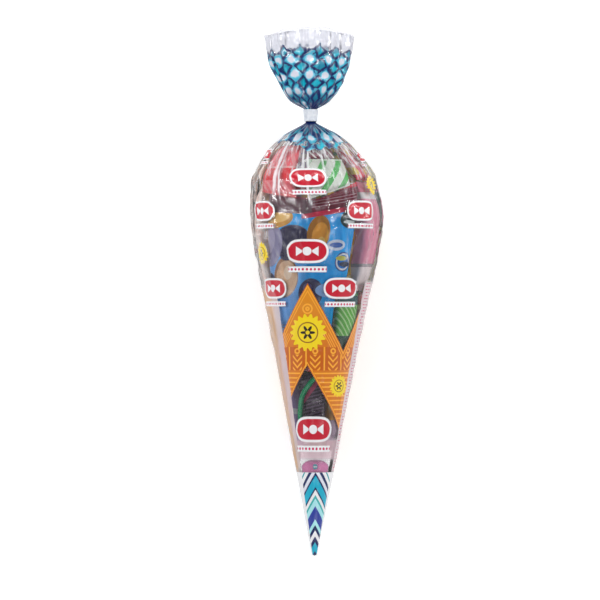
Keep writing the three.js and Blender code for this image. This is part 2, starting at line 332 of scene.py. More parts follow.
def crease_depth(angle, station, group, foot, top):
    """How deep the creases cut, 0 to 1, where each starts at its own height above foot."""
    depth = np.zeros(np.broadcast(angle, station).shape)
    for middle, half, strength, start in group:
        away = np.abs(half_turned(angle - middle))
        notch = np.clip(1 - away / half, 0, 1) ** 1.4
        grown = ease((station - mix(top, foot, start)) / (0.45 * (top - foot)))
        depth = np.maximum(depth, strength * notch * grown)
    return depth


def ripple(points, period, seed):
    """Smooth noise, about -0.5 to 0.5, at each point in millimetres."""
    flat = points.reshape(-1, 3) / period + seed
    return np.array([noise.noise(p) for p in flat]).reshape(points.shape[:-1])


def body_rings(draw):
    """The body's rings of points, each ring's station, and each point's weight of painted highlight,
    high on ridges and crease edges.
    """
    pleats = creases(pleat_count, draw, 0.3, 0.62)
    turn = full_turn(film_sides)
    parts = (
        [1.5, 4.0],
        np.linspace(8, cone_length, 72),
        np.linspace(cone_length, neck_at, 80)[1:],
        np.linspace(neck_at, ruffle_at, 7)[1:-1],
    )
    body = np.concatenate(parts)[:, None]
    base = body_radius(body)
    smooth = around(body, turn, base, base)
    loose = ease(body / 120)
    slack = ease((body - belly_at) / shoulder_length)
    gathered = ease((body - neck_at) / neck_length + 1)
    lively = 0.3 + 0.7 * ease((body - 170) / 100)
    swollen = np.clip(ripple(smooth, 34, 3.1) + 0.15, 0, 1) * (1 - slack)
    bulge = bulge_height * loose * ease((body - 150) / 110) * swollen
    ridge = np.clip(1 - 7 * np.abs(ripple(smooth * (1, 0.42, 1), 15, 9.7)), 0, 1)
    fine = np.clip(1 - 6 * np.abs(ripple(smooth * (1, 0.5, 1), 7.5, 4.3)), 0, 1)
    crinkle = crinkle_height * ridge + fine_crinkle_height * fine
    crinkle = loose * lively * crinkle * (1 - 0.55 * slack)
    cut = crease_depth(turn, body, pleats, belly_at - 40, neck_at - 6)
    crest = crest_height * ease((body - belly_at + 20) / shoulder_length) * (1 - gathered)
    sink = pleat_depth(body) + crest_height * (1 - gathered)
    radius = base + (bulge + crinkle) * (1 - gathered) + crest * (1 - cut) - sink * cut
    radius = radius + 0.25 * gathered * np.cos(bundle_folds * turn)
    # Weights of painted highlight: the crinkle ridges and the pleats' edges get white streaks painted
    # into the film's colour.
    sheen_weight = loose * (0.3 + 0.7 * lively) * (0.75 * ridge**2 + 0.45 * fine**2)
    edges = np.abs(np.roll(cut, -1, 1) - np.roll(cut, 1, 1)) * 2.2
    sheen_weight = np.clip(sheen_weight * 0.8 + edges * (0.4 + slack), 0, 1)
    return around(body, turn, radius, radius), body, sheen_weight


def ruffle_rings(draw):
    """The same for the ruffle, which is an oval with flutes."""
    flutes = creases(flute_count, draw, 0.42, 0.75)
    turn = full_turn(film_sides)
    share = np.concatenate([[0, 0.03, 0.06], np.linspace(0.1, 1, 40)])[:, None]
    spread = ease(share / 0.3)
    flute = crease_depth(turn, share, flutes, -0.4, 0.25)
    fold = mix(neck_pleat_depth, flute_depth, spread) * (0.15 - flute)
    fold = fold + 0.25 * np.cos(bundle_folds * turn) * (1 - spread)
    rise = ruffle_at + ruffle_length * share
    flat = around(rise, turn, ruffle_width_at(share), ruffle_depth_at(share))
    fold = fold + spread * (1.5 * ripple(flat, 21, 5.5) + 1.0 * ripple(flat, 8, 2.2))
    edge = rim_drop * share * np.sin(turn) ** 2 - 1.2 * share**3 * ripple(flat, 12, 8.8)
    width, depth = ruffle_width_at(share) + fold, ruffle_depth_at(share) + fold
    lip = np.clip((share - 0.985) * 60, 0, 1)
    # Weights of painted highlight on the flute edges and the cut lip.
    sheen_weight = np.clip(np.abs(np.roll(flute, -1, 1) - np.roll(flute, 1, 1)) + lip, 0, 1)
    return around(rise, turn, width, depth, y=rise - edge), rise, sheen_weight


def grid_faces(rows, columns, closed=False):
    """Quads of a grid of points whose rows follow each other in the list."""
    return [
        (
            r * columns + i,
            r * columns + (i + 1) % columns,
            (r + 1) * columns + (i + 1) % columns,
            (r + 1) * columns + i,
        )
        for r in range(rows - 1)
        for i in range(columns if closed else columns - 1)
    ]


def ring_faces(rows, columns, ends=2):
    """Faces of rings of points, closed round the middle points that follow them."""
    faces = grid_faces(rows, columns, closed=True)
    middle, last = rows * columns, (rows - 1) * columns
    faces += [(middle, (i + 1) % columns, i) for i in range(columns)]
    if ends == 2:
        faces += [(middle + 1, last + i, last + (i + 1) % columns) for i in range(columns)]
    return faces


def build_film():
    draw = random.Random(film_seed)
    parts = zip(body_rings(draw), ruffle_rings(draw))
    points, stations, sheen_weight = (np.concatenate(part) for part in parts)
    points[..., 2] = np.maximum(points[..., 2], 0.0)
    rows = len(stations)
    tip = rows * film_sides
    everything = np.vstack([points.reshape(-1, 3), around(0.0, 0.0, 0.0, 0.0)])
    film = mesh_piece("printed_film_bag", everything, ring_faces(rows, film_sides, ends=1))
    place = np.append(np.repeat(stations, film_sides), 0.0)
    angle = np.append(np.tile(full_turn(film_sides), rows), 0.0)
    # Each point's weight of painted highlight, which the film's colour reads.
    ridge_sheen = film.data.attributes.new("ridge_sheen", "FLOAT", "POINT")
    ridge_sheen.data.foreach_set("value", np.append(sheen_weight.ravel(), 0.0))
    sheet = film.data.uv_layers.new(name="sheet")
    ring = film.data.uv_layers.new(name="ring")
    for face in film.data.polygons:
        corners = [film.data.loops[c].vertex_index for c in face.loop_indices]
        angles = np.unwrap([angle[p] for p in corners if p != tip])
        middle = angles.mean()
        panel = math.pi * round(middle / math.pi)
        at = iter(angles)
        for c, p in zip(face.loop_indices, corners):
            a = middle if p == tip else next(at)
            across = (a - panel) * float(body_radius(min(place[p], neck_at)))
            sheet.data[c].uv = (across / 100, place[p] / 100)
            ring.data[c].uv = (a / (2 * math.pi), place[p] / 100)
    return film


# The film's print: inks laid on in a press, each motif a formula of its place on the
# sheet, x across from the middle of a panel and y up from the tip, in millimetres. The
# front and the back panel carry the same design.
red = (0.58, 0.008, 0.03)
white = (0.92, 0.92, 0.95)
navy = (0.001, 0.014, 0.105)
teal = (0.005, 0.36, 0.42)
cyan = (0.0, 0.44, 0.64)
aqua = (0.42, 0.84, 0.90)
indigo = (0.025, 0.05, 0.36)
orange = (0.70, 0.19, 0.008)
rust = (0.58, 0.12, 0.004)
amber = (1.0, 0.44, 0.035)
yellow = (0.95, 0.70, 0.012)

panel_left = -0.82
panel_right = 1.04
chevron_slope = 1.77
front_axis = -7.6
zigzag_span = 65.0
zigzag_top = 236.5
zigzag_foot = 167.0
zigzag_end = 108.0
columns_at = 172.5
tip_print_to = 74.0
seam_to = 372.0
diamonds_from = 351.0
diamonds_to = 440.0
clear_from = 436.0
back = 50.0


class Field:
    """A number that varies over a surface. Arithmetic on it adds math nodes."""

    def __init__(self, tree, socket):
        self.tree = tree
        self.socket = socket

    def math(self, operation, *others, clamp=False):
        values = dict(enumerate((self, *others)))
        node = add_node(self.tree, "ShaderNodeMath", values, operation=operation, use_clamp=clamp)
        return Field(self.tree, node.outputs[0])

    def __add__(self, other):
        return self.math("ADD", other)

    def __sub__(self, other):
        return self.math("SUBTRACT", other)

    def __mul__(self, other):
        return self.math("MULTIPLY", other)

    def __truediv__(self, other):
        return self.math("DIVIDE", other)

    def __abs__(self):
        return self.math("ABSOLUTE")

    def __neg__(self):
        return self.math("MULTIPLY", -1.0)

    def most(self, other):
        return self.math("MAXIMUM", other)

    def least(self, other):
        return self.math("MINIMUM", other)

    def repeat(self, period):
        """The distance from the middle of the nearest repeat."""
        return self.math("WRAP", period / 2, -period / 2)

    def below(self, edge, soft=0.25):
        """1 where this is below the edge, 0 above it, with a soft step between."""
        return self.math("MULTIPLY_ADD", -1 / soft, edge / soft + 0.5, clamp=True)

    def above(self, edge, soft=0.25):
        return self.math("MULTIPLY_ADD", 1 / soft, 0.5 - edge / soft, clamp=True)

    def near(self, value, half, soft=0.25):
        """1 within half of a value."""
        return abs(self - value).below(half, soft)


def surface_places(tree, uv_map):
    """The two places on a UV map, in millimetres."""
    source = add_node(tree, "ShaderNodeUVMap", uv_map=uv_map)
    apart = add_node(tree, "ShaderNodeSeparateXYZ", {0: source.outputs[0]})
    return [Field(tree, apart.outputs[i]) * 100.0 for i in range(2)]


def cloudy(tree, scale, detail=2.0, distortion=0.0):
    """Uneven patches over a piece, about 0.5 in the middle."""
    place = add_node(tree, "ShaderNodeTexCoord").outputs["Object"]
    inputs = {"Vector": place, "Scale": scale, "Detail": detail, "Distortion": distortion}
    return Field(tree, add_node(tree, "ShaderNodeTexNoise", inputs).outputs[0])


def bumps(tree, height, strength, distance):
    inputs = {"Height": height, "Strength": strength, "Distance": distance}
    return add_node(tree, "ShaderNodeBump", inputs).outputs[0]


class Print:
    """Inks laid over each other: a colour and how much of it covers the ground."""

    def __init__(self, tree, colour, cover=1.0):
        self.tree = tree
        ground = add_node(tree, "ShaderNodeRGB")
        ground.outputs[0].default_value = (*colour, 1.0)
        whole = add_node(tree, "ShaderNodeValue")
        whole.outputs[0].default_value = cover
        self.colour = ground.outputs[0]
        self.cover = Field(tree, whole.outputs[0])

    def ink(self, mask, colour, cover=1.0):
        new = (*colour, 1.0) if isinstance(colour, tuple) else colour
        inputs = {0: mask, 6: self.colour, 7: new}
        self.colour = add_node(self.tree, "ShaderNodeMix", inputs, data_type="RGBA").outputs[2]
        self.cover = self.cover + mask * (-self.cover + cover)


def ellipse(x, y, half_width, half_height):
    """Below 1 inside an ellipse."""
    return (x / half_width).math("POWER", 2.0) + (y / half_height).math("POWER", 2.0)


def from_origin(x, y):
    """The distance from the origin."""
    return (x * x + y * y).math("SQRT")


def starburst(x, y, radius, points):
    """Below 0 inside a star with short points."""
    turn = y.math("ARCTAN2", x) * float(points)
    return from_origin(x, y) + turn.math("COSINE") * (-0.1 * radius) - radius


def any_of(masks):
    total = masks[0]
    for mask in masks[1:]:
        total = total.most(mask)
    return total


def print_badges(film, x, y):
    """Red badges with a white rim and a wrapped sweet, over a thin dotted bar."""
    places = [
        (-5.5, 324.0, 1.1, 1.05), (-54.0, 296.5, 1.1, 1.1), (41.0, 296.5, 1.1, 1.1),
        (-8.3, 262.0, 1.28, 1.12), (-42.0, 231.0, 1.12, 1.1), (21.7, 231.0, 1.14, 1.12),
        (-2.0, 110.0, 1.18, 1.35), (-52.0, 346.0, 0.7, 1.0), (58.0, 344.0, 0.7, 1.0),
    ]
    rims, bodies, sweets, bars, dots = [], [], [], [], []
    for at_x, at_y, size, tall in places:
        px, py = (x - at_x) / size, (y - at_y) / (size * tall)
        raised, lowered_by = py - 1.0, py + 9.6
        oval = (px / 14.0).math("POWER", 4.0) + (raised / 7.0).math("POWER", 2.0)
        rims.append(oval.below(1.0, 0.12))
        bodies.append(oval.below(0.66, 0.08))
        ball = ellipse(px, raised, 2.9, 2.5).below(1.0, 0.2)
        wings = abs(abs(px) - 5.4).below(2.1, 0.3)
        fan = wings * (abs(raised) - (abs(px) - 2.9) * 0.55).below(0.3, 0.4)
        sweets.append(ball.most(fan))
        bar = abs(lowered_by).below(1.7, 0.3) * abs(px).below(13.0, 0.4)
        bars.append(bar)
        dots.append(bar * ellipse(px.repeat(2.6), lowered_by, 0.8, 0.75).below(1.0, 0.3))
    film.ink(any_of(rims).most(any_of(bars)), white)
    film.ink(any_of(bodies), red)
    film.ink(any_of(sweets), white)
    film.ink(any_of(dots), (0.62, 0.03, 0.12))


def print_zigzag(film, x, y, panel):
    """An opaque orange band with zigzag edges, lined like a woven braid."""
    across = abs((x - front_axis).repeat(zigzag_span))
    upper = (y + across * chevron_slope) * -1.0 + zigzag_top
    lower = y + across * chevron_slope - zigzag_foot
    band = upper.above(0.0) * lower.above(0.0) * panel * y.above(zigzag_end)
    film.ink(band, orange)
    film.ink(band * (y - 205.0).above(0.0, 40.0), (0.76, 0.27, 0.012))
    columns_zone = y.near(columns_at, 10.0) * upper.above(8.0)
    film.ink(band * columns_zone, rust)
    film.ink(band * upper.below(1.0).most(lower.below(1.0)), rust)
    braid = upper.near(2.3, 0.8).most(upper.near(6.6, 0.65))
    braid = braid.most(lower.near(2.2, 0.7))
    hatch = upper.near(11.0, 0.6).most(upper.near(14.6, 0.6)).most(upper.near(18.2, 0.6))
    braid = braid.most(hatch * abs(x - front_axis).above(12.0) * y.near(188.0, 6.0))
    ring_from = from_origin(x - front_axis, y - 215.0)
    braid = braid.most(ring_from.near(3.8, 0.65)).most(ring_from.near(1.2, 0.7))
    stripe = abs((x + 0.8).repeat(15.7))
    v_shape = (y - stripe * 1.1).repeat(5.0).near(0.0, 0.95) * stripe.below(4.4) * y.below(176.0)
    bead = from_origin(stripe, y - 179.0).near(1.9, 0.7)
    braid = braid.most(columns_zone * v_shape.most(bead).most(stripe.above(7.2)))
    rails = y.repeat(3.9).near(0.0, 0.62) * y.below(161.0) * lower.above(4.0)
    braid = braid.most(rails)
    film.ink(braid * band, amber)


def print_stars(film, x, y):
    """Plain yellow starbursts, each with a dark flower in a thin ring."""
    places = [(-57.0, 262.0, 9.0), (-7.3, 194.8, 14.6), (21.5, 149.0, 8.8), (58.4, 320.0, 8.0)]
    for at_x, at_y, size in places:
        px, py = x - at_x, y - at_y
        film.ink(starburst(px, py, size, 18).below(0.0), yellow)
        from_middle = from_origin(px, py)
        petals = py.math("ARCTAN2", px) * 6.0
        flower = (from_middle + petals.math("COSINE") * (-0.13 * size)).below(0.3 * size)
        ring = from_middle.near(0.58 * size, 0.035 * size)
        film.ink(flower * from_middle.above(0.12 * size), (0.02, 0.014, 0.01))
        film.ink(ring, (0.30, 0.12, 0.01))


def print_chevrons(film, x, y, panel):
    """The opaque tip, with nested chevrons in blues."""
    stops = [
        (0, navy), (4.6, cyan), (12.4, navy), (17.5, white), (22.8, navy), (27.4, aqua),
        (32.6, indigo), (44.5, aqua), (51.0, (0.04, 0.46, 0.46)), (54, white), (58.7, navy),
        (61.2, cyan), (71.2, navy), (73.9, (0.80, 0.82, 0.93)), (79.4, navy), (84.2, white),
        (90, teal), (92.6, white),
    ]
    along = (y + abs(x - 0.4) * chevron_slope) / 100.0
    ramp = add_node(film.tree, "ShaderNodeValToRGB", {0: along})
    steps = ramp.color_ramp
    steps.interpolation = "CONSTANT"
    for i, (at, colour) in enumerate(stops):
        stop = steps.elements[0] if i == 0 else steps.elements.new(at / 100)
        stop.position = at / 100
        stop.color = (*colour, 1.0)
    steps.elements[-1].color = (*white, 1.0)
    foot = y.below(tip_print_to, 0.5)
    film.ink(foot, (0.93, 0.93, 0.96), 0.96)
    film.ink(foot * panel, ramp.outputs[0])


def print_side_strips(film, x, y, share):
    """Past the design: peach on one side, rows of plain dashes on the other."""
    film.ink(y.near(94.0, 9.0, 4.0), (0.98, 0.68, 0.77), 0.5)
    left = share.below(panel_left, 0.01) * y.near(153.0, 80.0, 12.0)
    film.ink(left, (1.0, 0.80, 0.78), 0.6)
    film.ink(left * share.below(panel_left - 0.22, 0.12), (1.0, 0.60, 0.34), 0.6)
    right = share.above(panel_right, 0.01) * y.near(156.0, 82.0, 3.0)
    film.ink(right, (0.98, 0.80, 0.86), 0.72)
    rows = y.repeat(2.6).near(0.0, 0.55, 0.3) * share.near(1.27, 0.14, 0.02)
    dashes = (x + y * 0.37).repeat(4.1).near(0.0, 1.4, 0.4)
    film.ink(right * rows * dashes, (0.60, 0.03, 0.14), 0.9)


def print_diamonds(film, turns, y):
    """Teal diamonds in navy nets, with white puffs between, on the gathered end."""
    count = 13.0
    row = 13.6
    drift = cloudy(film.tree, 85.0, 3.0) - 0.5
    across, up = turns * (count / 100.0) + drift * 0.8, y / row + drift * 0.65
    a, b = across + up, across - up
    odd = ((a.math("FLOOR") + b.math("FLOOR")) * 0.5).math("FRACT") * 2.0
    fa, fb = abs(a.math("FRACT") - 0.5), abs(b.math("FRACT") - 0.5)
    square, rounded = fa.most(fb), from_origin(fa, fb)
    flank = abs(turns.math("WRAP", back, -back)).above(9.0, 16.0) * 9.0
    top = (y + drift * 20.0 + odd.above(0.5, 0.1) * 7.0).below(diamonds_to, 1.5)
    zone = top * (y - flank + drift * 38.0).above(diamonds_from, 1.5)
    film.ink(zone, (0.04, 0.42, 0.60), 0.96)
    film.ink(zone * rounded.below(0.42, 0.16), (0.14, 0.62, 0.80), 0.96)
    film.ink(zone * rounded.below(0.30, 0.12), (0.74, 0.74, 0.84), 0.96)
    teal_zone = zone * odd.below(0.5, 0.1)
    film.ink(teal_zone, navy, 0.97)
    film.ink(teal_zone * square.below(0.30, 0.05), (0.003, 0.24, 0.38), 0.97)
    middle = square.below(0.24, 0.1) * drift.above(-0.02, 0.1)
    film.ink(teal_zone * middle, (0.0, 0.50, 0.66), 0.97)
    net = square.above(0.39, 0.06) * odd.above(0.5, 0.1) * drift.above(0.0, 0.08)
    film.ink(zone * net, (0.004, 0.08, 0.26), 0.95)
    # Navy laid over the diamonds near the neck: partly the print crowded where the film gathers,
    # partly painted shade at the foot of the ruffle's mouth.
    squeezed_and_shaded = abs(y - 381.0).below(15.0, 14.0) * zone
    film.ink(squeezed_and_shaded * drift.above(-0.12, 0.14), navy, 0.97)


def painted_glare(film, turns, along):
    """Painted glare: white streaks painted on the folds and ridges as highlights from the lamps, and
    the cloudy clear rim with painted highlight on its flute edges and lip.
    """
    tree = film.tree
    ridge_sheen = Field(tree, add_node(tree, "ShaderNodeAttribute", attribute_name="ridge_sheen").outputs["Fac"])
    places = {0: turns.math("WRAP", back, -back), 1: along * 0.035}
    place = add_node(tree, "ShaderNodeCombineXYZ", places).outputs[0]
    streaks = add_node(tree, "ShaderNodeTexNoise", {"Vector": place, "Scale": 1.5})
    glint = Field(tree, streaks.outputs[0])
    # Painted glints: white streaks along the ridges and thin ones over the shoulder, standing in for
    # the lamps' highlights.
    thin = glint.above(0.61, 0.05) * along.near(345.0, 22.0, 30.0) * 0.6
    folds = ridge_sheen.math("POWER", 2.2) * (glint.above(0.47, 0.12) * 0.75 + 0.22)
    folds = folds.most(thin) * along.below(388.0, 10.0)
    bare = film.cover.below(0.3, 0.2)
    rim = along.above(clear_from, 6.0)
    film.ink(rim * bare, (0.66, 0.67, 0.80), 0.34)
    film.ink(folds * bare, (0.95, 0.95, 0.98), 0.85)
    # Painted highlight on the ruffle's flute edges and cut lip.
    film.ink(ridge_sheen * rim, (0.80, 0.81, 0.88), 0.8)


def film_surface(tree):
    """Ink where the film is printed and nothing between, under one coat of gloss."""
    x, y = surface_places(tree, "sheet")
    turns, along = surface_places(tree, "ring")
    share = x / (y * cone_slope + tip_radius)
    panel = share.above(panel_left, 0.01) * share.below(panel_right, 0.01)
    film = Print(tree, (0.93, 0.94, 1.0), 0.012)
    print_side_strips(film, x, y, share)
    print_zigzag(film, x, y, panel)
    print_stars(film, x, y)
    print_badges(film, x, y)
    print_chevrons(film, x, y, panel)
    print_diamonds(film, turns, along)
    seam = turns.near(back, 0.9, 0.2) * along.below(seam_to)
    film.ink(seam, (0.80, 0.82, 0.88), 0.5)
    # Painted highlights, laid over the print.
    painted_glare(film, turns, along)

    bump = bumps(tree, cloudy(tree, 95.0, 3.0), 0.24, 0.002)
    ink = add_node(
        tree,
        "ShaderNodeBsdfPrincipled",
        {"Base Color": film.colour, "Roughness": 0.3, "Specular IOR Level": 0.2, "Normal": bump},
    ).outputs[0]
    clear = add_node(tree, "ShaderNodeBsdfTransparent").outputs[0]
    gloss = add_node(tree, "ShaderNodeBsdfGlossy", {"Roughness": 0.065, "Normal": bump}).outputs[0]
    sheen = add_node(tree, "ShaderNodeFresnel", {"IOR": 1.41, "Normal": bump}).outputs[0]
    printed = add_node(tree, "ShaderNodeMixShader", {0: film.cover, 1: clear, 2: ink}).outputs[0]
    return add_node(tree, "ShaderNodeMixShader", {0: sheen, 1: printed, 2: gloss})


def inside_surface(tree):
    return add_node(tree, "ShaderNodeBsdfTransparent", {"Color": (0.985, 0.985, 0.99, 1.0)})


film_bag = build_film()
film_bag.data.materials.append(finish("printed_film", film_surface))
film_bag.data.materials.append(finish("clear_film_inside", inside_surface))
gauge = film_bag.modifiers.new("gauge", "SOLIDIFY")
gauge.thickness = 0.001 * film_gauge
gauge.offset = -1.0
gauge.material_offset = 1
gauge.material_offset_rim = 0
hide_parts("film_bag")
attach(film_bag, "root")

# The gathered film inside the tape: the pleats pressed into one bundle, which shows at
# the foot of the ruffle's mouth.
bundle_sides = 72
bundle_rings = [
    (366.0, 0.4), (370.0, 2.6), (374.0, 3.5), (380.0, 3.7), (386.0, 4.3), (391.0, 3.4), (395.0, 0.9)
]


def build_bundle():
    stations, swell = np.array(bundle_rings).T[..., None]
    turn = full_turn(bundle_sides)
    twist = 0.06 * (stations - neck_at)
    radius = swell * (0.82 + 0.13 * np.cos(9 * turn + twist) + 0.05 * np.cos(14 * turn - twist))
    points = around(stations, turn, radius, radius).reshape(-1, 3)
    ends = [around(end, 0, 0, 0) for end in (stations[0, 0] - 0.5, stations[-1, 0] + 0.5)]
    faces = ring_faces(len(stations), bundle_sides)
    return mesh_piece("gathered_film_bundle", np.vstack([points, *ends]), faces)


def bundle_surface(tree):
    streaks = cloudy(tree, 420.0)
    film = Print(tree, (0.55, 0.72, 0.80))
    film.ink(streaks.below(0.46, 0.1), navy)
    film.ink(streaks.above(0.58, 0.08), (0.82, 0.88, 0.93))
    return add_node(tree, "ShaderNodeBsdfPrincipled", {"Base Color": film.colour, "Roughness": 0.25})


bundle = build_bundle()
bundle.data.materials.append(finish("gathered_film", bundle_surface))
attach(bundle, "root")

# The neck tape: white adhesive tape wound round the gathered film. Each turn sits a
# little higher than the last, and the free end lies flat with a square cut.
tape_sides = 96
tape_rows = 14
tape_thickness = 0.7
tape_from = neck_at + 1.2
tape_to = ruffle_at - 0.6
tape_turns = 3


def build_tape():
    turn = full_turn(tape_sides)
    up = np.linspace(0, 1, tape_rows)[:, None]
    station = mix(tape_from, tape_to, up)
    inner = mix(neck_foot_radius, neck_top_radius, (station - neck_at) / neck_length) + clearance
    climb = (up * tape_turns + turn / (2 * math.pi)) % 1.0
    step = 0.16 * ease(climb / 0.12) * (1 - 0.5 * climb)
    free_end = 0.14 * ease((turn - 1.2) / 0.05) * (1 - ease((turn - 2.3) / 0.05))
    pucker = 0.07 * np.cos(13 * turn + 5 * up)
    outer = inner + tape_thickness * 0.75 + step + free_end + pucker
    outside = around(station, turn, outer, outer)
    inside = around(station, turn, inner, inner)[::-1]
    points = np.concatenate([outside, inside])
    faces = grid_faces(len(points), tape_sides, closed=True)
    last = (len(points) - 1) * tape_sides
    for i in range(tape_sides):
        j = (i + 1) % tape_sides
        faces.append((last + i, last + j, j, i))
    return mesh_piece("neck_tape_winding", points.reshape(-1, 3), faces)


def tape_surface(tree):
    clouds = cloudy(tree, 260.0, 4.0)
    tape = Print(tree, (0.62, 0.66, 0.74))
    tape.ink(clouds.above(0.5, 0.25), (0.80, 0.83, 0.88))
    bump = bumps(tree, clouds, 0.25, 0.0004)
    inputs = {"Base Color": tape.colour, "Roughness": 0.32, "Normal": bump}
    return add_node(tree, "ShaderNodeBsdfPrincipled", inputs)


tape = build_tape()
tape.data.materials.append(finish("white_tape", tape_surface))
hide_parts("neck_tape")
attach(tape, "root")

# Pillow packets: printed film round loose sweets, with a crimped seal and a saw-cut edge
# at both ends. Each lies where its solid does, hard against the bag, and its filling
# pushes it out between the creases that run in from the seals.
packet_columns = 44
packet_rows = 60
seal_share = 0.1
seal_thickness = 0.7
seal_rib_rows = [1, 2, 3, packet_rows - 2, packet_rows - 3, packet_rows - 4]
saw_depth = 0.55
gather_height = 1.3
dent_height, fine_dent_height = 1.5, 0.9


def corners_of(node):
    """A solid's corners, in millimetres."""
    return np.array([v.co[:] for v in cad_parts[node].data.vertices]) * 1000


def lie_of(node):
    """Where a packet's solid lies: its stations, angles and half widths, depth and bulk."""
    corners = corners_of(node)
    station = corners[:, 1] + rim_at / 2
    x = corners[:, 0] - lean_at(station)
    z = corners[:, 2] - height_at(station)
    angle, radius = np.arctan2(x, z), np.hypot(x, z)
    sunk = room_radius(station, angle) - radius
    depth, ends = max(0.0, sunk.min()), []
    for end in (station.min(), station.max()):
        row = angle[np.abs(station - end) < 0.1]
        middle = math.atan2(np.sin(row).mean(), np.cos(row).mean())
        off = half_turned(row - middle)
        half = 0.5 * (off.max() - off.min())
        ends.append((end, middle + off.min() + half, half * (float(body_radius(end)) - depth)))
    return ends, depth, sunk.max() - depth


def build_packet(name, node, seed, crease, seals, reshape):
    """A packet's mesh and height, and the lines across its seals for the ribs."""
    ends, depth, bulk = lie_of(node)
    (low, low_angle, low_half), (high, high_angle, high_half) = ends
    turned = half_turned(high_angle - low_angle)
    draw = random.Random(seed)
    u = np.linspace(-1, 1, packet_columns)[None, :]
    v = np.linspace(-1, 1, packet_rows)[:, None]
    u = np.sign(u) * np.abs(u) ** 0.85
    share = (v + 1) / 2
    saw = saw_depth * np.abs((u * 11 % 1) - 0.5) * np.sign(v) * (np.abs(v) > 0.999)
    station = mix(low, high, share) - saw * seals + 0 * u
    half = mix(low_half, high_half, share) + 0 * u
    if reshape:
        station, half = reshape(u, share, station, half)
    angle = low_angle + turned * share + u * half / (body_radius(station) - depth)
    inner_v = np.clip(np.abs(v) / (1 - seal_share * seals), 0, 1)
    full = np.sqrt(np.clip(1 - np.abs(u) ** 4, 0, 1) * np.clip(1 - inner_v**4, 0, 1))
    waves = np.cos(u * draw.uniform(13, 17) + draw.uniform(0, 6) + 2.2 * v)
    waves = np.abs(waves + 0.4 * np.cos(u * 31 + draw.uniform(0, 6)))
    gather = gather_height * np.exp((inner_v - 1) / 0.22) * waves * ease(full / 0.25)
    flat = around(station, angle, half, half)
    dents = fine_dent_height * np.abs(ripple(flat, 11, seed))
    dents = dents + dent_height * np.abs(ripple(flat, 26, seed + 3))
    bag = room_radius(station, angle)

    def side(inner):
        sunk = depth + 0.3 * bulk * (1 - full)
        skin = sunk + crease * (gather + dents) * full * (0.5 if inner else 1.0)
        thick = seal_thickness + (bulk - 1.2 - seal_thickness) * full
        radius = bag - skin - (thick if inner else 0)
        return around(station, angle, radius, radius)

    points = np.concatenate([side(False).reshape(-1, 3), side(True).reshape(-1, 3)])
    layer = packet_rows * packet_columns
    top = grid_faces(packet_rows, packet_columns)
    faces = top + [tuple(layer + i for i in reversed(face)) for face in top]
    place = np.arange(layer).reshape(packet_rows, packet_columns)
    ring = [*place[0], *place[1:, -1], *place[-1, -2::-1], *place[-2:0:-1, 0]]
    for a, b in zip(ring, ring[1:] + ring[:1]):
        faces.append((int(b), int(a), int(layer + a), int(layer + b)))
    packet = mesh_piece(name, points, faces)
    sheet = packet.data.uv_layers.new(name="sheet")
    across = np.broadcast_to(u * half, station.shape).ravel()
    up = (station - low).ravel()
    for corner in packet.data.loops:
        p = corner.vertex_index % layer
        sheet.data[corner.index].uv = (across[p] / 100, up[p] / 100)
    return packet, high - low, [points[place[r]] for r in seal_rib_rows] if seals else []


# The ribs that the sealing jaws press into a packet's ends: each is swept along a line
# across the seal, and has the same film on it as the packet.
rib_radius = 0.22
rib_sides = 5


def new_tree(name, inputs):
    """A node tree that takes a mesh and named values, and gives a mesh."""
    tree = bpy.data.node_groups.new(name, "GeometryNodeTree")
    add = tree.interface.new_socket
    add("Geometry", in_out="INPUT", socket_type="NodeSocketGeometry")
    sockets = [
        add(label, in_out="INPUT", socket_type="NodeSocket" + kind) for label, kind in inputs.items()
    ]
    add("Geometry", in_out="OUTPUT", socket_type="NodeSocketGeometry")
    return tree, add_node(tree, "NodeGroupInput").outputs, sockets


def end_tree(tree, made, look):
    """Real meshes with their material, at a tree's end."""
    real = add_node(tree, "GeometryNodeRealizeInstances", {"Geometry": made}).outputs[0]
    coated = add_node(tree, "GeometryNodeSetMaterial", {"Geometry": real, "Material": look})
    add_node(tree, "NodeGroupOutput", {"Geometry": coated.outputs[0]})


def rib_tree():
    named = {"Rib Radius": "Float", "Rib Sides": "Int", "Film": "Material"}
    tree, given, sockets = new_tree("seal_ribs", named)
    lines = add_node(tree, "GeometryNodeMeshToCurve", {"Mesh": given["Geometry"]})
    sizes = {"Radius": given["Rib Radius"], "Resolution": given["Rib Sides"]}
    section = add_node(tree, "GeometryNodeCurvePrimitiveCircle", sizes)
    sweep = add_node(
        tree,
        "GeometryNodeCurveToMesh",
        {"Curve": lines.outputs[0], "Profile Curve": section.outputs[0], "Fill Caps": True},
    )
    end_tree(tree, sweep.outputs[0], given["Film"])
    return tree, sockets


def grown(piece, tree, values):
    """The piece that a node tree makes of a mesh, as a plain mesh."""
    modifier = piece.modifiers.new("grow", "NODES")
    modifier.node_group = tree
    for socket, value in values:
        modifier[socket.identifier] = value
    bpy.context.view_layer.update()
    seen = piece.evaluated_get(bpy.context.evaluated_depsgraph_get())
    mesh = bpy.data.meshes.new_from_object(seen)
    piece.modifiers.remove(modifier)
    piece.data = mesh
    return piece


ribs_of_seals, rib_inputs = rib_tree()


def seal_ribs(name, lines, look):
    count = len(lines[0])
    edges = [(n * count + i, n * count + i + 1) for n in range(len(lines)) for i in range(count - 1)]
    mesh = bpy.data.meshes.new(name)
    mesh.from_pydata([tuple(0.001 * c for c in p) for p in np.vstack(lines)], edges, [])
    ribs = bpy.data.objects.new(name, mesh)
    bpy.context.scene.collection.objects.link(ribs)
    return grown(ribs, ribs_of_seals, zip(rib_inputs, (0.001 * rib_radius, rib_sides, look)))


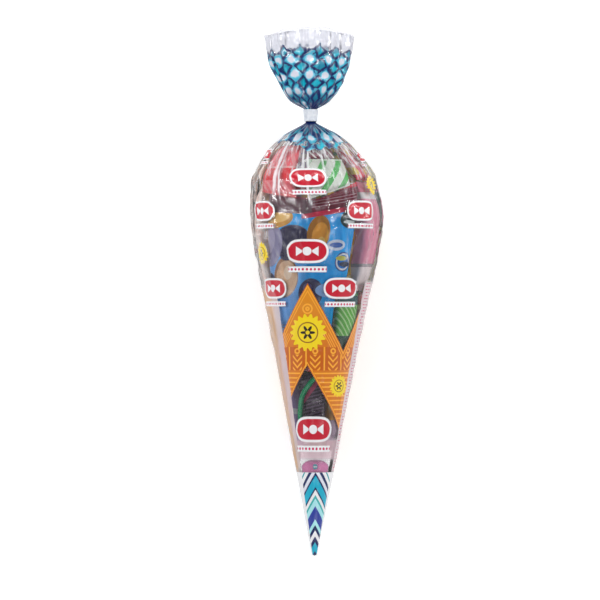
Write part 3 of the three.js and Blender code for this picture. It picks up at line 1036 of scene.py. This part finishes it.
def plain_finish(name, colour, rough=0.3):
    """One colour all over, with fine unevenness."""

    def surface(tree):
        bump = bumps(tree, cloudy(tree, 900.0), 0.2, 0.0003)
        inputs = {"Base Color": (*colour, 1.0), "Roughness": rough, "Normal": bump}
        return add_node(tree, "ShaderNodeBsdfPrincipled", inputs)

    return finish(name, surface)


def wrapper_finish(name, ground, design, height, foil=0.0, rough=0.24):
    """Printed film: the ground's colour, a design drawn over it, and fine creases."""

    def surface(tree):
        sheet = Print(tree, ground)
        design(sheet, *surface_places(tree, "sheet"), height)
        crumple = cloudy(tree, 110.0, 5.0, 0.6)
        inputs = {
            "Base Color": sheet.colour,
            "Metallic": foil,
            "Roughness": rough,
            "Specular IOR Level": 0.3,
            "Coat Weight": 0.22,
            "Coat Roughness": 0.07,
            "Normal": bumps(tree, crumple, 0.5, 0.0012),
        }
        return add_node(tree, "ShaderNodeBsdfPrincipled", inputs)

    return finish(name, surface)


def add_packet(
    node, slot, ground, design, seed, crease=1.0, seals=True, reshape=None, rib_colour=None, **looks
):
    packet, height, lines = build_packet(node + "_wrapped", node, seed, crease, seals, reshape)
    packet.data.materials.append(wrapper_finish(node + "_film", ground, design, height, **looks))
    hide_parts(node)
    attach(packet, "root")
    if lines:
        rib_film = plain_finish(node + "_seal_film", rib_colour or ground)
        ribs = seal_ribs(node + "_seals", lines, rib_film)
        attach(ribs, "root")


def layered(*designs):
    """Designs printed over each other, where the first is at the bottom."""

    def draw(sheet, x, y, height):
        for design in designs:
            design(sheet, x, y, height)

    return draw


def bands(*colours):
    """A design of bands up the packet, as (from, to, colour) shares of its height."""

    def draw(sheet, x, y, height):
        for low, high, colour in colours:
            sheet.ink(y.above(low * height, 0.4) * y.below(high * height, 0.4), colour)

    return draw


def stripes(colour, period, share=0.5, lean=0.0):
    def draw(sheet, x, y, height):
        sheet.ink((x + y * lean).repeat(period).near(0.0, share * period / 2), colour)

    return draw


def spots(colour, period, radius):
    def draw(sheet, x, y, height):
        shifted = x + (y / period).math("FLOOR") * (0.5 * period)
        from_middle = from_origin(shifted.repeat(period), (y - 0.5 * period).repeat(period))
        sheet.ink(from_middle.below(radius), colour)

    return draw


def label(colour, at, half_width, half_height, dots):
    """A plain oval label with a row of dots."""

    def draw(sheet, x, y, height):
        middle = y - at * height
        sheet.ink(ellipse(x, middle, half_width, half_height).below(1.0, 0.1), colour)
        row = from_origin(x.repeat(half_width / 3), middle).below(half_height / 4)
        sheet.ink(row * abs(x).below(0.75 * half_width), dots)

    return draw


# The big snack packet in front: glossy blue film filled with gas and corn snacks, printed
# with round puffs and rings, under a dark red header that dips in the middle.
def snack_design(sheet, x, y, height):
    maroon = (0.15, 0.008, 0.03)
    shapes = [
        (-9.0, 79.0, 17.0, 12.0, (0.025, 0.02, 0.08)),
        (-32.0, 74.0, 15.0, 18.0, (0.30, 0.28, 0.46)),
        (-35.0, 78.0, 9.0, 11.0, (0.48, 0.45, 0.64)),
        (-27.0, 97.0, 17.0, 8.5, (0.72, 0.36, 0.06)),
        (-26.0, 98.5, 13.0, 5.5, (0.95, 0.62, 0.20)),
        (15.0, 84.0, 10.0, 15.0, (0.52, 0.22, 0.02)),
        (16.5, 82.0, 7.0, 11.0, (0.90, 0.42, 0.05)),
        (18.0, 76.0, 3.5, 5.0, (0.98, 0.66, 0.18)),
        (-13.0, 47.0, 13.0, 17.0, (0.40, 0.20, 0.10)),
        (-12.0, 46.0, 11.0, 15.0, (0.84, 0.56, 0.36)),
        (-10.0, 51.0, 4.0, 6.0, (0.95, 0.78, 0.62)),
        (-17.0, 40.0, 3.0, 4.5, (0.62, 0.32, 0.16)),
        (-34.0, 36.0, 13.0, 15.0, (0.03, 0.025, 0.10)),
        (-37.0, 40.0, 5.0, 5.0, (0.12, 0.10, 0.30)),
        (12.0, 34.0, 11.0, 12.0, (0.03, 0.025, 0.10)),
        (9.0, 38.0, 4.0, 4.0, (0.14, 0.12, 0.32)),
        (-12.0, 66.0, 7.0, 5.0, (0.03, 0.02, 0.08)),
        (28.0, 36.0, 12.0, 6.0, (0.30, 0.52, 0.92)),
        (43.0, 96.0, 10.0, 7.5, (0.01, 0.05, 0.05)),
        (43.0, 98.0, 6.5, 1.5, (0.86, 0.90, 0.88)),
        (43.0, 93.5, 6.5, 1.5, (0.80, 0.86, 0.84)),
        (32.0, 74.0, 8.5, 4.6, (0.80, 0.86, 0.96)),
        (32.0, 74.0, 6.2, 2.2, (0.05, 0.16, 0.55)),
        (40.0, 60.0, 8.2, 8.2, (0.02, 0.06, 0.32)),
        (40.0, 60.0, 7.2, 7.2, (0.90, 0.93, 0.95)),
        (40.0, 60.0, 5.7, 5.7, (0.0, 0.16, 0.56)),
        (38.0, 63.0, 5.6, 2.0, (0.70, 0.66, 0.10)),
        (42.0, 58.0, 5.6, 2.2, (0.015, 0.03, 0.08)),
    ]
    lower = y.below(60.0, 14.0) * x.below(4.0, 10.0)
    sheet.ink(lower, (0.16, 0.44, 0.92))
    for at_x, at_y, half_width, half_height, colour in shapes:
        inside = ellipse(x - at_x, y - at_y, half_width, half_height)
        sheet.ink(inside.below(1.0, 0.12), colour)
    slope = x * 0.16
    header = y - slope.most(slope * -0.35)
    sheet.ink(header.above(96.0, 0.4) * x.above(-2.0, 2.0), (0.70, 0.02, 0.08))
    sheet.ink(header.above(100.0, 0.4), maroon)
    sheet.ink(header.above(100.0, 0.4) * x.below(6.0, 1.0), (0.14, 0.065, 0.09))
    for level in (104.5, 107.0, 109.5):
        sheet.ink(header.near(level, 0.22) * x.above(6.0, 1.0), (0.55, 0.33, 0.40))
    sheet.ink(header.above(115.5, 0.4) * x.above(8.0, 1.0), (0.74, 0.02, 0.06))


def snack_shape(u, share, station, half):
    """The header dips in the middle, and the right side reaches round further."""
    dip = np.interp(u, [-1.0, 0.15, 0.9, 1.0], [8.0, 16.0, 1.5, 0.0])
    wide = half + 10.5 * (u > 0) * ease((station - 228) / 16)
    return station - dip * share**8, wide


add_packet(
    "blue_snack_packet", "blue_foil", (0.0, 0.44, 1.0), snack_design,
    11, rough=0.18, reshape=snack_shape, rib_colour=(0.30, 0.02, 0.06),
)

# The packets on the right: a long packet of pink wafers in foil stands beside the blue
# one, over a green jelly packet and a cola packet of plain film.
add_packet(
    "pink_wafer_packet", "pink_foil", (0.88, 0.30, 0.44),
    bands(
        (0.0, 0.22, (0.90, 0.78, 0.78)),
        (0.22, 0.25, (0.35, 0.30, 0.32)),
        (0.84, 0.9, white),
    ),
    12,
)
add_packet(
    "green_jelly_packet", "green_film", (0.13, 0.48, 0.07),
    layered(
        stripes((0.50, 0.76, 0.36), 5.0, 0.35, 0.9),
        bands((0.0, 0.3, (0.02, 0.07, 0.05)), (0.8, 1.0, (0.02, 0.10, 0.12))),
    ),
    13,
)
add_packet(
    "cola_packet", "cola_film", (0.36, 0.10, 0.06),
    layered(spots((0.80, 0.55, 0.25), 9.0, 2.2), bands((0.82, 1.0, (0.75, 0.08, 0.08)))),
    14,
)

# The packets at the back and on the left: corn snacks and apricot chews in foil, which
# fill the side of the bag that lies on the table.
add_packet(
    "yellow_corn_packet", "yellow_foil", (0.93, 0.66, 0.05),
    layered(
        spots((0.98, 0.85, 0.40), 13.0, 4.0),
        bands((0.70, 0.78, (0.80, 0.10, 0.06)), (0.78, 0.95, (0.05, 0.30, 0.20))),
    ),
    15, rough=0.2,
)
add_packet(
    "apricot_packet", "apricot_foil", (0.98, 0.68, 0.58),
    layered(
        stripes((0.98, 0.82, 0.74), 12.0, 0.5, 0.5),
        label(white, 0.55, 13.0, 9.0, (0.55, 0.12, 0.10)),
    ),
    16,
)


# The packets at the shoulder: small ones of thin printed film that lie slanted under the
# gathered pleats, and a toffee in waxed paper between them.
def lowered(left, right):
    """A packet whose lower end hangs down further, by so much at each side."""

    def shape(u, share, station, half):
        return station - mix(left, right, (u + 1) / 2) * (1 - share), half

    return shape


add_packet(
    "red_chew_packet", "red_film", (0.92, 0.16, 0.20),
    layered(
        stripes((0.95, 0.36, 0.38), 9.0, 0.4, 0.7),
        bands((0.0, 0.34, (0.80, 0.015, 0.03)), (0.34, 0.39, (0.95, 0.50, 0.50))),
    ),
    17, reshape=lowered(9.5, 15.5), rib_colour=(0.80, 0.03, 0.05),
)
add_packet(
    "green_mint_packet", "mint_film", (0.92, 0.97, 0.90),
    stripes((0.12, 0.62, 0.16), 15.0, 0.42, -0.8), 18, reshape=lowered(16.5, 4.5),
)
add_packet(
    "cherry_packet", "red_film", (0.70, 0.03, 0.08),
    layered(stripes((0.92, 0.66, 0.72), 10.0, 0.35, 0.5), spots((0.95, 0.72, 0.12), 16.0, 3.2)),
    19,
)
add_packet(
    "lemon_packet", "lemon_film", (0.93, 0.78, 0.16),
    layered(stripes((0.98, 0.95, 0.70), 7.0, 0.4, -0.5), bands((0.75, 0.85, (0.1, 0.45, 0.2)))),
    20,
)
add_packet(
    "berry_packet", "berry_film", (0.28, 0.14, 0.50),
    layered(spots((0.85, 0.40, 0.62), 8.0, 2.4), bands((0.7, 0.8, white))),
    21,
)
add_packet(
    "peach_packet", "peach_film", (0.92, 0.56, 0.38),
    layered(
        stripes((0.97, 0.80, 0.68), 11.0, 0.5, 0.4),
        label((0.72, 0.05, 0.12), 0.5, 9.0, 6.0, white),
    ),
    22,
)
add_packet(
    "striped_toffee", "toffee_wax", (0.20, 0.02, 0.05),
    stripes((0.85, 0.82, 0.80), 6.0, 0.35, 0.9), 23, crease=0.6, seals=False, rough=0.35,
)

# The chews round the middle of the cone: three flat packets of duller waxed paper, each
# with crimped ends.
add_packet(
    "orange_chew_packet", "orange_wax", (0.88, 0.42, 0.08),
    layered(stripes((0.98, 0.72, 0.35), 8.0, 0.4), bands((0.0, 0.3, (0.42, 0.30, 0.40)))),
    24, rough=0.4,
)
add_packet(
    "lime_chew_packet", "lime_wax", (0.45, 0.68, 0.12),
    stripes((0.90, 0.95, 0.60), 9.0, 0.45, 0.6), 25, rough=0.4,
)
add_packet(
    "violet_chew_packet", "violet_wax", (0.42, 0.26, 0.60),
    spots((0.88, 0.80, 0.95), 10.0, 2.6), 26, rough=0.4,
)


# The liquorice packet in the clear window: dark film, drawn tight over a bundle of cut
# liquorice strings, with a red string laid across them.
def liquorice_design(sheet, x, y, height):
    strings = (y - x * 0.25).repeat(3.0).near(0.0, 0.7, 0.6)
    sheet.ink(strings, (0.13, 0.09, 0.14))
    red_string = (x - y * 0.8 + 34.0).near(0.0, 2.4, 0.8) * y.above(30.0)
    sheet.ink(red_string, (0.45, 0.06, 0.14))
    sheet.ink(y.below(8.0, 1.0), (0.30, 0.28, 0.30))


add_packet("liquorice_packet", "dark_film", (0.035, 0.02, 0.035), liquorice_design, 27, rough=0.2)


# The pink gum in the tip: one soft sugared piece with a domed end, in a close film
# without seals.
def domed_end(u, share, station, half):
    return station - 6.0 * share * np.abs(u) ** 2.5, 1.3 * half


add_packet(
    "pink_gum", "pink_sugar", (1.0, 0.36, 0.68), label((0.20, 0.62, 0.72), 0.6, 2.2, 2.4, white),
    28, crease=0.35, seals=False, rough=0.35, reshape=domed_end,
)

# The puffs packet in the core: a round bag of metallised film full of puffed corn, which
# fills the middle of the cone behind the others and holds them against the film.
core_rows = 70
core_columns = 96
core_from, core_to = 206.0, 337.0
core_gap = 21.8


def build_core():
    v = np.linspace(-1, 1, core_rows)[:, None]
    turn = full_turn(core_columns)
    station = mix(core_from, core_to, (v + 1) / 2)
    swell = np.sqrt(np.clip(1 - v**4, 0.0004, 1))
    reach = (room_radius(station, turn) - core_gap) * swell
    flat = around(station, turn, reach, reach)
    dents = 1.4 * np.abs(ripple(flat, 12, 6.6)) + 2.0 * np.abs(ripple(flat, 27, 1.6))
    pinch = 0.8 * np.abs(np.cos(7 * turn)) * np.exp(-(1 - np.abs(v)) / 0.12)
    radius = np.maximum(reach - (dents + pinch) * swell, 0.05)
    points = around(station, turn, radius, radius).reshape(-1, 3)
    ends = [around(end, 0, 0, 0) for end in (core_from - 0.1, core_to + 0.1)]
    faces = ring_faces(core_rows, core_columns)
    core = mesh_piece("puffs_packet_wrapped", np.vstack([points, *ends]), faces)
    sheet = core.data.uv_layers.new(name="sheet")
    for face in core.data.polygons:
        corners = np.array([core.data.loops[c].vertex_index for c in face.loop_indices])
        turns = np.unwrap(turn[corners % core_columns])
        rows = np.minimum(corners // core_columns, core_rows - 1)
        ups = (core_to - core_from) * rows / (core_rows - 1)
        for c, a, up in zip(face.loop_indices, turns, ups):
            sheet.data[c].uv = (0.32 * a, up / 100)
    return core


puffs_design = layered(
    spots((0.95, 0.62, 0.16), 16.0, 5.0),
    lambda sheet, x, y, height: sheet.ink(y.above(110.0), (0.72, 0.05, 0.07)),
    lambda sheet, x, y, height: sheet.ink(y.below(24.0), (0.16, 0.30, 0.62)),
    lambda sheet, x, y, height: sheet.ink(y.near(27.0, 1.2), (0.90, 0.90, 0.92)),
)
core_film = (0.62, 0.66, 0.72)

core = build_core()
core.data.materials.append(
    wrapper_finish("puffs_packet_film", core_film, puffs_design, core_to - core_from, foil=0.5)
)
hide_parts("puffs_packet")
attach(core, "root")

# The loose sweets: a gum ball, a boiled lollipop on its paper stick and a bonbon in
# twisted cellophane. Each lies along its solid's own axis.
sweet_middle = (-4.0, 46.0)
bonbon_radius = 8.0
bonbon_half = 0.31
stick_radius = 2.1


def frame_of(node):
    """A solid's middle, its long axis and two directions across, in millimetres."""
    corners = corners_of(node)
    low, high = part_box(node)
    middle = 500 * (np.array(low) + np.array(high))
    spread = corners - corners.mean(0)
    along = np.linalg.svd(spread, full_matrices=False)[2][0]
    along = along * (1 if along[1] > 0 else -1)
    across = np.cross(along, (0.0, 0.0, 1.0))
    across = across / np.linalg.norm(across)
    reach = (corners - middle) @ along
    return middle, along, across, np.cross(across, along), reach.min(), reach.max()


def turned_piece(name, node, profile, columns, flute):
    """A sweet turned about its solid's axis, where flute shapes each ring."""
    middle, along, across, over, low, high = frame_of(node)
    turn = full_turn(columns)
    at, radius = (np.array(row)[:, None] for row in zip(*profile(low, high)))
    radius = radius * flute(turn, at, low, high)
    round_axis = np.cos(turn)[:, None] * across + np.sin(turn)[:, None] * over
    points = middle + at[..., None] * along + radius[..., None] * round_axis
    ends = [middle + at[0, 0] * along, middle + at[-1, 0] * along]
    faces = [face[::-1] for face in ring_faces(len(at), columns)]
    return mesh_piece(name, np.vstack([points.reshape(-1, 3), *ends]), faces)


def swirl_finish(name, first, second, turns, rough=0.22):
    """Two colours twisted together round a sweet."""

    def surface(tree):
        place = add_node(tree, "ShaderNodeTexCoord").outputs["Object"]
        apart = add_node(tree, "ShaderNodeSeparateXYZ", {0: place})
        x, y, z = (Field(tree, apart.outputs[i]) * 1000.0 for i in range(3))
        angle = (z - sweet_middle[1]).math("ARCTAN2", x - sweet_middle[0])
        sweep = angle * (turns / (2 * math.pi)) + y / 9.0
        sweet = Print(tree, first)
        sweet.ink(sweep.math("FRACT").below(0.5, 0.08), second)
        inputs = {"Base Color": sweet.colour, "Roughness": rough, "Coat Weight": 0.3}
        return add_node(tree, "ShaderNodeBsdfPrincipled", inputs)

    return finish(name, surface)


def ball_profile(low, high):
    reach = 0.5 * (high - low)
    angles = np.linspace(0.03, math.pi - 0.03, 34)
    return [(-reach * math.cos(a), reach * math.sin(a)) for a in angles]


def bonbon_profile(low, high):
    shares = np.linspace(0, 1, 44)
    off = np.abs(shares - 0.5)
    body = bonbon_radius * np.sqrt(np.clip(1 - (off / bonbon_half) ** 2.6, 0, 1))
    tails = 1.5 + 4.2 * np.clip((off - bonbon_half) / (0.5 - bonbon_half), 0, 1) ** 0.8
    radius = np.maximum(body, tails * (off > bonbon_half - 0.03))
    return list(zip(mix(low, high, shares), radius))


def stick_profile(low, high):
    edge = [(0.0, stick_radius - 0.9), (0.1, stick_radius - 0.2), (0.5, stick_radius)]
    foot = [(low + up, radius) for up, radius in edge]
    top = [(high - down, radius) for down, radius in reversed(edge)]
    return foot + [(mix(low, high, 0.5), stick_radius)] + top


def twisted_tails(turn, at, low, high):
    off = np.abs(at - 0.5 * (low + high)) / (0.5 * (high - low))
    from_body = np.clip((off - 0.55) / 0.45, 0, 1)
    return 1 - 0.36 * ease(from_body * 3) * (0.5 + 0.5 * np.cos(9 * turn + 0.25 * at))


def ribbed(turn, at, low, high):
    return 1 - 0.03 * (0.5 + 0.5 * np.cos(12 * turn + 0.1 * at))


def plain(turn, at, low, high):
    return 1 + 0 * turn * at


paper = plain_finish("rolled_paper", (0.90, 0.88, 0.84), 0.6)
gum = swirl_finish("blue_gum", (0.03, 0.30, 0.72), (0.25, 0.55, 0.85), 5.0, 0.4)
candy = swirl_finish("lollipop_candy", (0.78, 0.03, 0.08), (0.93, 0.80, 0.70), 6.0, 0.12)
cellophane = swirl_finish("red_cellophane", (0.72, 0.015, 0.05), (0.90, 0.30, 0.32), 7.0)
for name, node, profile, columns, flute, look, slot in (
    ("gum_ball_sugared", "gum_ball", ball_profile, 48, plain, gum, "blue_sugar"),
    ("lollipop_head_boiled", "lollipop_head", ball_profile, 60, ribbed, candy, "red_sugar"),
    ("lollipop_stick_rolled", "lollipop_stick", stick_profile, 28, plain, paper, "stick"),
    ("red_bonbon_twisted", "red_bonbon", bonbon_profile, 72, twisted_tails, cellophane, "red_film"),
):
    sweet = turned_piece(name, node, profile, columns, flute)
    sweet.data.materials.append(look)
    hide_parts(node)
    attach(sweet, "root")

# The green tube: a soft sugared rope, extruded with four twisted lobes, that lies in a
# bend over the liquorice, seen through the clear window.
tube_radius = 2.3
tube_sides = 24
tube_rings = 90
tube_route = [(157.5, 1), (150, -13), (140, -28), (126, -36), (108, -38)]


def build_tube():
    stations, angles = np.array(tube_route, float).T
    steps = np.linspace(0, len(stations) - 1, tube_rings)
    s = np.interp(steps, np.arange(len(stations)), stations)
    a = np.radians(np.interp(steps, np.arange(len(stations)), angles))
    for _ in range(30):
        s[1:-1] = (s[:-2] + 2 * s[1:-1] + s[2:]) / 4
        a[1:-1] = (a[:-2] + 2 * a[1:-1] + a[2:]) / 4
    out = room_radius(s, a) - tube_radius - clearance
    path = around(s, a, out, out)
    way = np.gradient(path, axis=0)
    way = way / np.linalg.norm(way, axis=1, keepdims=True)
    side = np.cross(way, (0.0, 0.0, 1.0))
    side = side / np.linalg.norm(side, axis=1, keepdims=True)
    over = np.cross(side, way)
    turn = full_turn(tube_sides)
    twist = 0.35 * np.arange(tube_rings)[:, None]
    lobes = 1 - 0.07 * (0.5 - 0.5 * np.cos(4 * turn + twist))
    close = np.ones(tube_rings)
    close[[0, -1]], close[[1, -2]] = 0.55, 0.9
    radius = (tube_radius * lobes * close[:, None])[..., None]
    ring = np.cos(turn)[:, None] * side[:, None] + np.sin(turn)[:, None] * over[:, None]
    points = (path[:, None] + radius * ring).reshape(-1, 3)
    faces = [face[::-1] for face in ring_faces(tube_rings, tube_sides)]
    return mesh_piece("green_candy_rope", np.vstack([points, path[0], path[-1]]), faces)


rope = build_tube()
rope.data.materials.append(plain_finish("green_jelly_candy", (0.005, 0.40, 0.16), 0.28))
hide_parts("green_candy_tube")
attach(rope, "root")

# The sugar: coarse grains that stick all over the rope and the gum ball, because both
# are tumbled in sugar while they are still damp.
grain_radius = 0.17
grains_per_area = 260000.0
grain_seed = 5
smallest_grain = 0.5


def grain_tree():
    named = {"Grain Radius": "Float", "Grains Per Area": "Float", "Sugar": "Material"}
    tree, given, sockets = new_tree("sugar_grains", named)
    places = {"Mesh": given["Geometry"], "Density": given["Grains Per Area"], "Seed": grain_seed}
    scatter = add_node(tree, "GeometryNodeDistributePointsOnFaces", places)
    sizes = {"Radius": given["Grain Radius"], "Subdivisions": 1}
    grain = add_node(tree, "GeometryNodeMeshIcoSphere", sizes)
    uneven = add_node(
        tree, "FunctionNodeRandomValue", {2: smallest_grain, 3: 1.0}, data_type="FLOAT"
    )
    lay = add_node(
        tree,
        "GeometryNodeInstanceOnPoints",
        {"Points": scatter.outputs[0], "Instance": grain.outputs[0], "Scale": uneven.outputs[1]},
    )
    end_tree(tree, lay.outputs[0], given["Sugar"])
    return tree, sockets


sugaring, grain_inputs = grain_tree()
sugar = plain_finish("sugar_grain", (0.90, 0.93, 0.90), 0.35)
for source, name, slot in (
    ("green_candy_rope", "rope_sugar", "green_sugar"),
    ("gum_ball_sugared", "gum_ball_sugar", "blue_sugar"),
):
    grains = bpy.data.objects.new(name, bpy.data.objects[source].data.copy())
    bpy.context.scene.collection.objects.link(grains)
    grown(grains, sugaring, zip(grain_inputs, (0.001 * grain_radius, grains_per_area, sugar)))
    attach(grains, "root")
